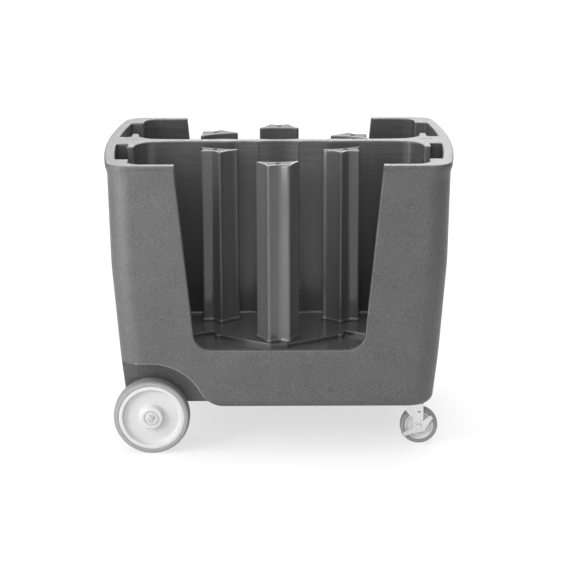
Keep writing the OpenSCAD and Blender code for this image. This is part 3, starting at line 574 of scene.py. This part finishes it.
def bayCutter(side):
    # the bay's outline from its floor up: floor round, pocket floor, drafted walls and the round at the rim
    def draft(z):
        return (body["height"] - z) * tanDeg(bay["draft"])
    rings = []
    for a in np.radians(np.linspace(0, 90, 8)):
        z, d = bay["floor"] + bay["floorR"] * (1 - math.cos(a)), bay["floorR"] * (1 - math.sin(a))
        rings.append(atHeight(bayOutline(draft(z) + d, 1.0), z))
    for t in np.linspace(0, 1, 7):  # the pocket's floor slopes up to the bay in a soft curve
        z = bay["pocketZ"] - bay["fold"] * (1 - t)
        rings.append(atHeight(bayOutline(draft(z), 1 - t), z))
    e = body["edge"]
    for z in np.linspace(600, body["height"] - e - 1, 8):
        rings.append(atHeight(bayOutline(draft(z)), z))
    for a in np.radians(np.linspace(90, 0, 8)):
        z, d = body["height"] - e * (1 - math.cos(a)), e * (1 - math.sin(a))
        rings.append(atHeight(bayOutline(draft(z) - d), z))
    top = body["height"] + 2
    rings += [atHeight(bayOutline(-e), top), atHeight(bayOutline(-e, 1.0), top + 25)]
    eye = side * bay["u"] / 2
    return skin("bayCutter", onSide(rings, side), [[0, eye, bay["floor"]], [0, eye, top + 25]], shellInside)


def openOutline(grow, top):
    # a U in a long side: slanted sides that run tangent into its round lower corners, drawn wider by grow
    r, s = opening["radius"], math.radians(opening["slant"])
    cz = opening["sill"] + r
    cx = opening["width"] / 2 - (body["height"] - cz) * math.tan(s) - r / math.cos(s)
    curve = arc(cx, cz, r + grow, -90, -opening["slant"], 16)
    zs = np.r_[np.linspace(cz + 20, body["height"] - 6, 12), top]
    right = np.vstack([curve, np.c_[cx + (r + grow) / math.cos(s) + (zs - cz) * math.tan(s), zs]])
    return np.vstack([right, right[::-1] * [-1, 1]])


def openingCutter(side):
    # the U carried through the wall: a quarter round runs along its outer edge, and along its inner edge too,
    # where it fades out towards the sill
    top, e = body["height"] + 10, body["edge"]
    plain = openOutline(0, top)
    drop = body["height"] - np.minimum(plain[:, 1], body["height"])
    wallIn = bay["u"] - drop * tanDeg(bay["draft"])
    fade = np.clip((plain[:, 1] - opening["sill"] - opening["fadeFrom"]) / opening["fadeOver"], 0, 1)

    def outerRing(grow, shift):
        p = openOutline(grow, top)
        return np.c_[p[:, 0], sideY(np.minimum(p[:, 1], body["height"])) + shift, p[:, 1]]

    def innerRing(grow, shift):
        return np.c_[plain[:, 0] + np.sign(plain[:, 0]) * grow * fade, wallIn + shift, plain[:, 1]]
    rounds = [(e * (1 - math.sin(a)), e * (1 - math.cos(a))) for a in np.radians(np.linspace(0, 90, 8))]
    rings = [outerRing(e, 4)] + [outerRing(grow, -shift) for grow, shift in rounds]
    rings += [innerRing(grow, shift) for grow, shift in rounds[::-1]] + [innerRing(e, -8)]
    rings = onSide(rings, side)
    return skin("openingCutter", rings, [rings[0].mean(0), rings[-1].mean(0)], shellSkin)


archRise = body["base"] + arch["foot"] - arch["cz"]
archFootX = arch["x"] + math.sqrt((arch["radius"] + arch["foot"]) ** 2 - archRise ** 2)


def archOutline(grow):
    # a large arc over the wheel, tangent to a small one that flares out at its foot, and a level roof that
    # runs out past the cart's end; all of it is drawn wider by grow
    tangent = math.degrees(math.atan2(archRise, archFootX - arch["x"]))
    low, far = body["base"] - 20, -body["length"] / 2 - 30
    foot = arc(archFootX, body["base"] + arch["foot"], arch["foot"] - grow, 180 + tangent, 270, 14)[1:]
    over = arc(arch["x"], arch["cz"], arch["radius"] + grow, tangent, 90, 20)
    xs = np.linspace(arch["x"] - 20, far, 5)
    roof = np.c_[xs, np.full(5, arch["cz"] + arch["radius"] + grow)]
    return np.vstack([[[archFootX, low]], foot[::-1], over, roof, [[far, low]]])


def archCutter(side):
    # the arch carried in from the side, with a small round at its mouth and a larger one at its back
    e, inner = body["edge"], arch["inner"]
    plain = archOutline(0)
    fade = np.clip((plain[:, 1] - body["base"]) / 40, 0, 1)[:, None]
    angles = np.radians(np.linspace(0, 90, 8))
    rings = []
    for a in angles:
        p = plain + (archOutline(e * (1 - math.sin(a))) - plain) * fade
        rings.append(np.c_[p[:, 0], sideY(p[:, 1]) - e * (1 - math.cos(a)), p[:, 1]])
    wide = rings[0].copy()
    wide[:, 1] = sideY(plain[:, 1]) + 40
    rings = [wide] + rings
    for a in angles:
        p = archOutline(-inner * (1 - math.cos(a)))
        rings.append(np.c_[p[:, 0], np.full(len(p), arch["y"] + inner * (1 - math.sin(a))), p[:, 1]])
    hub = np.array([arch["x"], 0, body["base"] - 15])
    hubs = np.array([hub + [0, body["width"] / 2 + 40, 0], hub + [0, arch["y"], 0]]) * [1, side, 1]
    return skin("archCutter", onSide(rings, side), hubs, shellSkin)


def grown(path, d):
    # every point of a closed counter-clockwise path moves out by d, square to its neighbours' chord
    along = np.roll(path, -1, 0) - np.roll(path, 1, 0)
    along /= np.linalg.norm(along, axis=1)[:, None]
    return path + d * np.c_[along[:, 1], -along[:, 0]]


def dripCutters(side):
    # a low area on each side of the raised floor, from the sill's height up; its upper edge is rounded
    back, e = bay["u"] - 12, drip["edge"]
    outline = np.array([[26, bay["u"] - 19], [164, 236], [174, 237], [179, 232], [182, 195], [241, 228],
                        [bay["x"] - 28, 302], [bay["x"] - 41, back], [19, back]], float)
    path = roundedPath(np.vstack([outline, outline[:1]]), drip["corner"], 4)[:-1]
    out = []
    for s in (-1, 1):
        p = path * [s, side]
        if np.sum(p[:, 0] * np.roll(p[:, 1], -1) - np.roll(p[:, 0], -1) * p[:, 1]) < 0:
            p = p[::-1]
        rings = [atHeight(p, opening["sill"])]
        for a in np.radians(np.linspace(0, 90, 5)):
            rings.append(atHeight(grown(p, e * (1 - math.cos(a))), bay["floor"] - e * (1 - math.sin(a))))
        rings.append(atHeight(grown(p, e), bay["floor"] + 2))
        out.append(plug("dripCutter", rings, shellInside))
    return out


def dimpleCutter(side):
    # a saucer: its depth fades out towards the rim of the mark
    x, r, d, top = side * dimple["x"], dimple["radius"], dimple["depth"], body["height"]
    rings = [atHeight(arc(x, 0, r * k, 0, 360, 48)[:-1], z) for k, z in
             ((0.80, top - d), (0.90, top - d * 0.8), (0.97, top - d * 0.35), (1.0, top), (1.02, top + 2))]
    return plug("dimpleCutter", rings, shellSkin)


# each tower's x, y and turn
towerPlaces = dict(front_left=(-178, -82, -24), front_centre=(-2, -276, 3), front_right=(186, -86, 24),
                   back_left=(-185, 178, 204), back_centre=(0, 276, 180), back_right=(214, 128, 156))

shell = skin("bodyShell", bodyRings(), [[0, 0, body["base"]], [0, 0, body["height"]]], shellSkin)
cutters = []
for side in (1, -1):
    cutters += [bayCutter(side)] + dripCutters(side) + [openingCutter(side), archCutter(side)]
    cutters.append(dimpleCutter(side))
for x, y in [place[:2] for place in towerPlaces.values()]:
    low, high = bay["floor"] - socket["depth"], bay["floor"] + 1
    cutters.append(roundPlug("socket", x, y, low, high, socket["radius"], shellInside))
shapedBy(shell, cutters, "DIFFERENCE")
print("body shell cut:", len(shell.data.polygons), "faces")


def nearArch(x, z):
    # within the lip's rounding: beside the wheel's arc, or beside the small arc at its foot
    over = np.where(x < arch["x"], z - arch["cz"], np.hypot(x - arch["x"], z - arch["cz"])) - arch["radius"]
    foot = arch["foot"] - np.hypot(x - archFootX, z - body["base"] - arch["foot"])
    slack, wide = arch["lipSlack"], body["edge"] + 0.5
    onArc = (over > -slack) & (over < wide)
    onFoot = (foot > -slack) & (foot < wide) & (x < archFootX) & (z < arch["lipTo"])
    return (z > body["base"] + arch["lipFrom"]) & (onArc | onFoot)


def finishEdges(obj):
    # the inner walls get the smoother skin, and the round along each wheel arch a paler skin: a painted
    # highlight along the arch's lip
    mesh = obj.data
    mesh.materials.clear()
    for mat in (shellSkin, shellInside, shellEdgeHighlight):
        mesh.materials.append(mat)
    c = threes(mesh.polygons, "center") / mm
    x, u, z = np.abs(c[:, 0]), np.abs(c[:, 1]), c[:, 2]
    inside = (u < bay["u"] + skinSplit["u"]) & (x < bay["x"] + skinSplit["x"])
    inside &= (z > skinSplit["low"]) & (z < skinSplit["high"])
    tilt = np.abs(threes(mesh.polygons, "normal")[:, 1])
    # this mask picks the arch's round, which gets the painted highlight
    lip = (tilt > skinSplit["level"]) & (tilt < skinSplit["steep"]) & nearArch(c[:, 0], z)
    lip &= u > sideY(z) - body["edge"] - skinSplit["lip"]
    mesh.polygons.foreach_set("material_index", np.where(lip, 2, inside).astype(np.int32))
    smoothByAngle(obj, sharpAngle["cut"])
    evenShading(obj)


finishEdges(shell)
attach(shell, "cart")
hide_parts("body_shell")
print("body shell done:", len(shell.data.polygons), "faces")

# Towers

tower = dict(height=494, wide=116, narrow=64, depth=64, lobe=6, skirt=3, top=5, hole=8, holeDepth=30,
             gap=0.3, peg=12, pegDepth=18, dips=((3.5, 2), (9, 2), (3.5, 2), (11.5, 1.3)))


def starOutline(grow, lobeSteps=10, sideSteps=12):
    # four round lobes joined by hollow sides: a side lies dip * (1 - |2t - 1| ** p) inside its chord
    d, r = tower["depth"] / 2 - tower["lobe"], tower["lobe"]
    wx, nx = tower["wide"] / 2 - r, tower["narrow"] / 2 - r
    lobes = [(nx, -d, -122, -13), (wx, d, -40, 109), (-wx, d, 71, 220), (-nx, -d, 193, 302)]
    out = []
    for k in range(4):
        a, b = lobes[k], lobes[(k + 1) % 4]
        lobe = arc(a[0], a[1], r + grow, a[2], a[3], lobeSteps)
        start = lobe[-1]
        turn = math.radians(b[2])
        end = np.array([b[0], b[1]]) + (r + grow) * np.array([math.cos(turn), math.sin(turn)])
        chord = end - start
        outward = np.array([chord[1], -chord[0]]) / np.linalg.norm(chord)
        t = np.linspace(0, 1, sideSteps + 1)[1:-1, None]
        dip, power = tower["dips"][k]
        out += [lobe, start + chord * t - outward * dip * (1 - np.abs(2 * t - 1) ** power)]
    return np.vstack(out)


def makeTower(name, place):
    # the star outline from the flared foot up to the rounded top; a pair is a height and how far it is grown
    gap, skirt, height, top = tower["gap"], tower["skirt"], tower["height"], tower["top"]
    pairs = [(gap, skirt - 1), (gap + 0.7, skirt - 0.3), (gap + 1.5, skirt), (4.5, skirt), (6.0, skirt - 0.4),
             (7.2, skirt - 1.2), (8.2, 1.0), (9.2, 0.3), (10, 0)]
    pairs += [(z, 0) for z in np.linspace(60, height - 8, 8)]
    for a in np.radians(np.linspace(0, 90, 8)):
        pairs.append((height - top * (1 - math.sin(a)), -top * (1 - math.cos(a))))
    rings = [atHeight(starOutline(grow), z) for z, grow in pairs]
    obj = skin(name, rings, [[0, 0, gap], [0, 0, height]], towerSkin)
    hole = roundPlug("liftHole", 0, 0, height - tower["holeDepth"], height + 1, tower["hole"], towerSkin)
    shapedBy(obj, [hole], "DIFFERENCE")
    peg = roundPlug("peg", 0, 0, -tower["pegDepth"], gap + 2, tower["peg"], towerSkin)
    shapedBy(obj, [peg], "UNION")
    x, y, turn = place
    t = math.radians(turn)
    spin = np.array([[math.cos(t), -math.sin(t), 0], [math.sin(t), math.cos(t), 0], [0, 0, 1]])
    moved = threes(obj.data.vertices, "co") @ spin.T + np.array([x, y, bay["floor"]]) * mm
    obj.data.vertices.foreach_set("co", moved.ravel())
    obj.data.materials.clear()
    obj.data.materials.append(towerSkin)
    smoothByAngle(obj, sharpAngle["cut"])
    evenShading(obj)
    return obj


for key, place in towerPlaces.items():
    piece = makeTower("tower_skin_" + key, place)
    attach(piece, "tower_body_" + key)
    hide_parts("tower_" + key)
print("towers done")

# Rear wheels

wheel = dict(x=-353, y=319, r=105, w=48, seat=89, bush=12, hubBack=26, face=9, boss=28, recess=3, band=80,
             dish=11, shoulder=3.2, ribs=8, ribFrom=24, ribTo=78, ribHalf=2)


def onAxle(side, x, y, z):
    # the axis points out of the cart's side, and the wheel's middle comes to x, y and z
    def place(p):
        return np.c_[p[:, 0] + x, side * (p[:, 2] + y), z - p[:, 1]]
    return place


def makeRearWheel(side, label):
    # tyre and hub are closed profiles of (radius, height) pairs, height running out of the cart's side
    h = wheel["w"] / 2
    r, s, b = wheel["r"], wheel["seat"], wheel["band"]
    place = onAxle(side, wheel["x"], wheel["y"], wheel["r"])
    tyre = [(s, -h + 3), (s + 2, -h + 1), (r - 8, -h), (r - 3, -h + 3), (r - 0.8, -h + 8), (r, -h + 14),
            (r, h - 14), (r - 0.8, h - 8), (r - 2.2, h - 3.4), (r - 4, h - 1.6), (r - 4.6, h - 2.3),
            (r - 5.6, h - 0.5), (s + 4, h), (s + 1.5, h - 1.5), (s + 1.5, h - 3), (s, h - 3)]
    piece = revolve("rear_tyre_" + label, roundedPath(tyre, 1.5, 4), place, tyreGrey, 160)
    paintShadeOnTread(piece)
    finishWheel(piece, label, ["tyre_" + label])
    f, boss, bush, back = wheel["face"], wheel["boss"], wheel["bush"], -wheel["hubBack"]
    d = wheel["dish"] - h
    hub = [(bush, back), (20, back), (24, -24), (26, d), (76, d), (78, -h + 5), (80, -h + 3), (s, -h + 3),
           (s, h - 3), (s + 1.5, h - 3), (s + 1.5, h - 1.5), (s, h - 0.5), (b + 1.5, h - 0.5), (b, h - 2),
           (b - 1, f + 6), (b - 3, f + 2), (b - 7, f), (38, f), (36, f + 0.7), (34.5, f + 3),
           (30.5, boss - 2), (29, boss - 0.5), (27.5, boss), (21, boss), (19.5, boss - wheel["recess"]),
           (bush, boss - wheel["recess"])]
    piece = revolve("rear_hub_" + label, roundedPath(hub, 1.2, 4), place, hubWhite, 128)
    angles = np.radians(np.arange(wheel["ribs"]) * 360 / wheel["ribs"])
    ribs = [ribBox(a, -h + 5, d + 1, place) for a in angles]
    points = np.vstack([x[0] for x in ribs])
    faces = np.vstack([x[1] + 8 * k for k, x in enumerate(ribs)])
    rib = newPiece("ribs", points, faces, hubWhite)
    closePoles(rib)
    joinInto(piece, rib)
    finishWheel(piece, label, ["wheel_hub_" + label])


def paintShadeOnTread(piece):
    # the running surface, out past the shoulder's radius, is painted darker: painted shade, as the arch
    # shades the tread
    mesh = piece.data
    mesh.materials.append(treadInPaintedShade)
    c = threes(mesh.polygons, "center") / mm
    reach = np.hypot(c[:, 0] - wheel["x"], c[:, 2] - wheel["r"])
    mesh.polygons.foreach_set("material_index", (reach > wheel["r"] - wheel["shoulder"]).astype(np.int32))


def ribBox(a, z0, z1, place):
    # a box behind the hub's disc, from one radius out to another, turned to angle a about the axis
    radii, half = (wheel["ribFrom"], wheel["ribTo"]), wheel["ribHalf"]
    corner = np.array([[r, w, z] for r in radii for w in (-half, half) for z in (z0, z1)], float)
    c, s = math.cos(a), math.sin(a)
    p = np.c_[corner[:, 0] * c - corner[:, 1] * s, corner[:, 0] * s + corner[:, 1] * c, corner[:, 2]]
    quads = np.array([[0, 1, 3, 2], [4, 6, 7, 5], [0, 4, 5, 1], [2, 3, 7, 6], [0, 2, 6, 4], [1, 5, 7, 3]])
    return place(p), quads


def joinInto(obj, other):
    # the other's points and faces are added to the object's own, and the other is gone afterwards
    a, b = obj.data, other.data
    points = np.vstack([threes(a.vertices, "co"), threes(b.vertices, "co")])
    shift = len(a.vertices)
    faces = [list(p.vertices) for p in a.polygons] + [[v + shift for v in p.vertices] for p in b.polygons]
    mesh = bpy.data.meshes.new(obj.name)
    mesh.from_pydata(points.tolist(), [], faces)
    mesh.materials.append(a.materials[0])
    obj.data = mesh
    bpy.data.objects.remove(other)
    smoothByAngle(obj, sharpAngle["drawn"])
    evenShading(obj)


def finishWheel(piece, label, stands):
    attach(piece, "rear_wheel_" + label)
    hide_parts(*stands)


for side, label in ((-1, "front"), (1, "back")):
    makeRearWheel(side, label)
print("rear wheels done")

# Casters

caster = dict(x=353, y=252, trail=37, r=52.5, w=30, core=40, sleeve=8, sleeveGap=0.05)


def makeCasterWheel(side, label):
    # tread and core are closed profiles of (radius, height) pairs too
    h, r, c = caster["w"] / 2, caster["r"], caster["core"]
    place = onAxle(side, caster["x"] + caster["trail"], caster["y"], caster["r"])
    tread = [(c, -h + 1), (c + 3, -h), (r - 5, -h), (r - 1, -h + 4), (r, -h + 9), (r, h - 9), (r - 1, h - 4),
             (r - 5, h), (c + 3, h), (c, h - 1)]
    piece = revolve("caster_rubber_" + label, roundedPath(tread, 2.5, 5), place, treadDark, 128)
    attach(piece, "caster_wheel_" + label)
    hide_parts("caster_tread_" + label)
    s = caster["sleeve"] + caster["sleeveGap"]
    core = [(s, -h - 2), (12, -h - 2), (13, -h + 4), (34, -h + 6), (36, -h + 1), (c, -h + 1), (c, h - 1),
            (36, h - 1), (34, h - 6), (13, h - 4), (12, h + 2), (s, h + 2)]
    piece = revolve("caster_disc_" + label, roundedPath(core, 1.2, 4), place, coreGrey, 96)
    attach(piece, "caster_wheel_" + label)
    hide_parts("caster_core_" + label)


for side, label in ((-1, "front"), (1, "back")):
    makeCasterWheel(side, label)
print("caster wheels done")

# Metal pieces and bushes

ease = dict(metal=0.4, lever=0.5, bush=0.3, steps=2, angle=40)  # widths of the eased edges in millimetres


def dressed(nodeName, bodyName, mat, bevel):
    # a merged copy of the construction's own mesh, with its edges eased
    source = nodes[nodeName]
    mesh = source.data.copy()
    mesh.name = nodeName + "_finish"
    obj = bpy.data.objects.new(nodeName + "_finish", mesh)
    bpy.context.scene.collection.objects.link(obj)
    bm = bmesh.new()
    bm.from_mesh(mesh)
    bmesh.ops.remove_doubles(bm, verts=bm.verts, dist=2e-6)
    bmesh.ops.dissolve_limit(bm, angle_limit=math.radians(1.0), verts=bm.verts, edges=bm.edges)
    bm.to_mesh(mesh)
    bm.free()
    mesh.materials.clear()
    mesh.materials.append(mat)
    mod = obj.modifiers.new("easedEdges", "BEVEL")
    mod.width, mod.segments, mod.limit_method = bevel * mm, ease["steps"], "ANGLE"
    mod.angle_limit = math.radians(ease["angle"])
    mod.use_clamp_overlap = True
    applied(obj)
    smoothByAngle(obj, sharpAngle["metal"])
    evenShading(obj)
    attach(obj, bodyName)
    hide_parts(nodeName)


for n in ("rear_axle", "axle_bracket_front", "axle_bracket_back", "bracket_bolts", "axle_spacer_front",
          "axle_spacer_back", "axle_nuts"):
    dressed(n, "cart", zincDull, ease["metal"])
dressed("axle_washers", "cart", zincBright, ease["metal"])
for label in ("front", "back"):
    dressed("wheel_bush_" + label, "rear_wheel_" + label, bushDark, ease["bush"])
    for n in ("caster_plate_", "plate_bolts_", "kingpin_"):
        dressed(n + label, "cart", zincBright, ease["metal"])
    for n in ("fork_", "swivel_race_", "caster_sleeve_", "caster_bolt_", "caster_nut_"):
        dressed(n + label, "caster_fork_" + label, zincBright, ease["metal"])
    dressed("brake_lever_" + label, "brake_" + label, zincBright, ease["lever"])
print("metal pieces done")

# Floor, light and camera

# reach, near and far are metres on the floor; the sky darkens where a direction's share along the cart
# goes from endsFrom to endsTo
stage = dict(reach=14.0, colour=0.72, lift=0.61, gloss=0.52, white=1.10, near=0.30, far=1.25,
             sky=0.80, skyEnds=0.06, endsFrom=0.45, endsTo=0.9)


def makeFloor():
    # a pale plane that keeps the cart's shadow; the camera sees it lifted towards white, and white far out
    s = stage["reach"]
    mesh = bpy.data.meshes.new("paleFloor")
    mesh.from_pydata([(-s, -s, 0), (s, -s, 0), (s, s, 0), (-s, s, 0)], [], [(0, 1, 2, 3)])
    floor = bpy.data.objects.new("paleFloor", mesh)
    bpy.context.scene.collection.objects.link(floor)
    mat = bpy.data.materials.new("paleFloor")
    mat.use_nodes = True
    mat.node_tree.nodes.clear()
    out = node(mat, "ShaderNodeOutputMaterial")
    diffuse = node(mat, "ShaderNodeBsdfDiffuse", Color=(stage["colour"],) * 3 + (1,))
    glow = node(mat, "ShaderNodeEmission", Strength=stage["white"])
    coords = node(mat, "ShaderNodeTexCoord")
    distance = node(mat, "ShaderNodeVectorMath", operation="LENGTH")
    link(mat, coords, "Object", distance, 0)
    fade = mapRange(mat, distance, "Value", (stage["near"], stage["far"]), (stage["lift"], 1.0),
                    interpolation_type="SMOOTHSTEP")
    path = node(mat, "ShaderNodeLightPath")
    mirrored = node(mat, "ShaderNodeMath", operation="MULTIPLY")
    mirrored.inputs[1].default_value = stage["gloss"]
    link(mat, path, "Is Glossy Ray", mirrored, 0)
    seen = mathNode(mat, "MAXIMUM", path, "Is Camera Ray", mirrored, "Value")
    share = mathNode(mat, "MULTIPLY", fade, "Result", seen, "Value")
    mix = node(mat, "ShaderNodeMixShader")
    link(mat, share, "Value", mix, "Fac")
    link(mat, diffuse, "BSDF", mix, 1)
    link(mat, glow, "Emission", mix, 2)
    link(mat, mix, "Shader", out, "Surface")
    mesh.materials.append(mat)


def makeSky():
    # white to the camera; as light it is softer, and darker towards both ends of the cart
    world = bpy.data.worlds.new("studio")
    bpy.context.scene.world = world
    world.use_nodes = True
    back = world.node_tree.nodes["Background"]
    back.inputs["Color"].default_value = (1, 1, 1, 1)
    path = node(world, "ShaderNodeLightPath")
    seen = mathNode(world, "MAXIMUM", path, "Is Camera Ray", path, "Is Transmission Ray")
    coords = node(world, "ShaderNodeTexCoord")
    parts = node(world, "ShaderNodeSeparateXYZ")
    link(world, coords, "Generated", parts, "Vector")
    ends = node(world, "ShaderNodeMath", operation="ABSOLUTE")
    link(world, parts, "X", ends, 0)
    soft = mapRange(world, ends, "Value", (stage["endsFrom"], stage["endsTo"]),
                    (stage["sky"], stage["skyEnds"]), interpolation_type="SMOOTHSTEP")
    level = mapRange(world, seen, "Value", (0, 1), (0, 1))
    link(world, soft, "Result", level, "To Min")
    link(world, level, "Result", back, "Strength")


lamps = dict(
    topSoftbox=dict(place=(0.0, 0.2, 3.2), target=(0, 0, 0.5), size=(3.0, 2.6), power=60.0),
    leftSoftbox=dict(place=(-2.28, -1.60, 1.20), target=(0.0, -0.1, 0.50), size=(1.7, 2.1), power=69.0),
    frontSoftbox=dict(place=(-0.6, -4.2, 2.9), target=(0, 0, 0.5), size=(2.4, 1.6), power=36.0),
    backSoftbox=dict(place=(0.35, 2.6, 2.5), target=(0, 0, 0.75), size=(2.6, 1.3), power=67.0))


def softLamp(name, place, target, size, power):
    # a rectangular lamp that faces its target
    lamp = bpy.data.lights.new(name, "AREA")
    lamp.shape, lamp.size, lamp.size_y, lamp.energy = "RECTANGLE", size[0], size[1], power
    obj = bpy.data.objects.new(name, lamp)
    bpy.context.scene.collection.objects.link(obj)
    obj.location = place
    aim = np.array(target) - np.array(place)
    obj.rotation_euler = Vector(aim).to_track_quat("-Z", "Y").to_euler()


makeFloor()
makeSky()
for name, lamp in lamps.items():
    softLamp(name, **lamp)

# focal length and frame in pixels, angles in degrees
view = dict(focal=1747.5, frame=570, sensor=36, pitch=15.64, yaw=-0.026, roll=-0.164,
            place=(0.0136, -4.8799, 1.7548), reach=60)


def makeCamera():
    def about(axis, degrees):
        return Matrix.Rotation(math.radians(degrees), 4, axis)
    data = bpy.data.cameras.new("photoCamera")
    data.sensor_width = view["sensor"]
    data.sensor_fit = "HORIZONTAL"
    data.lens = view["focal"] / view["frame"] * view["sensor"]
    data.clip_end = view["reach"]
    cam = bpy.data.objects.new("photoCamera", data)
    bpy.context.scene.collection.objects.link(cam)
    cam.location = view["place"]
    turn = about("Z", view["yaw"]) @ about("X", 90 - view["pitch"]) @ about("Z", view["roll"])
    cam.rotation_euler = turn.to_euler()
    bpy.context.scene.camera = cam


makeCamera()
bpy.context.scene.view_settings.view_transform = "Standard"
print("scene done")
